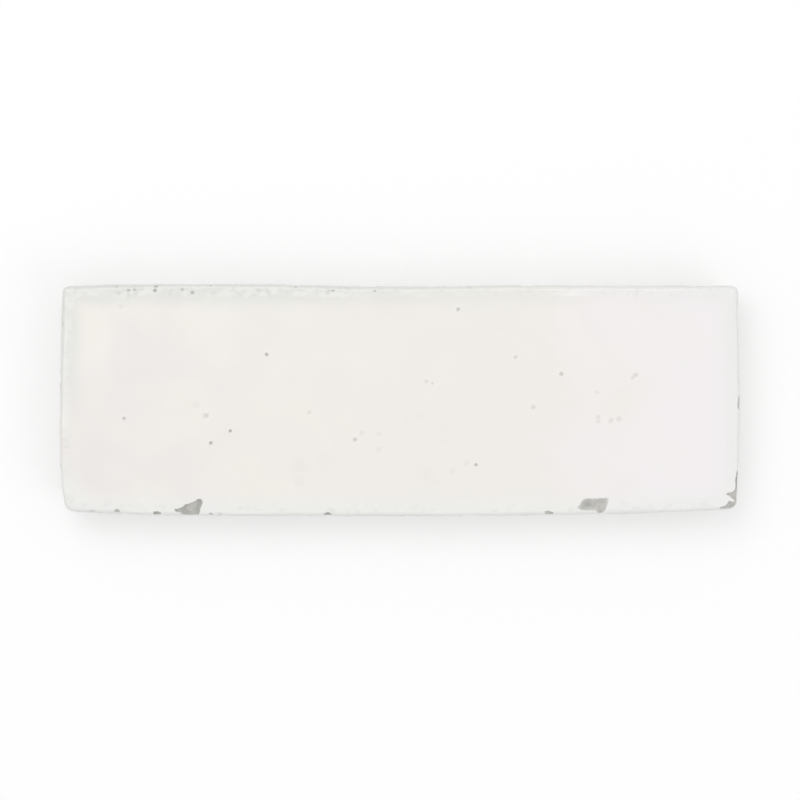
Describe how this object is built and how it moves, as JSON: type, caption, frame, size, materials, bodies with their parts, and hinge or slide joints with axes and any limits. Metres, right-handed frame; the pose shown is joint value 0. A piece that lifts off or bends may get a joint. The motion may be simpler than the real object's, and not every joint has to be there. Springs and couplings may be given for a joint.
{
  "type": "zellige tile",
  "caption": "Hand-cut oblong clay wall tile with a rippled off-white glaze, rolled edges, small chips and sides pared in towards a flat back.",
  "frame": {"origin": "middle of the footprint, on the plane of the flat back", "axes": "+X along the length, +Y across the width, +Z out of the glazed face"},
  "size_m": [0.1508, 0.0512, 0.012],
  "materials": {
    "glazed_clay": "glossy off-white glaze with pinholes over pale grey fired clay, which is bare on the chips, the lower sides and the back"
  },
  "bodies": {
    "root": {"zellige_tile": "glazed_clay"}
  },
  "joints": []
}
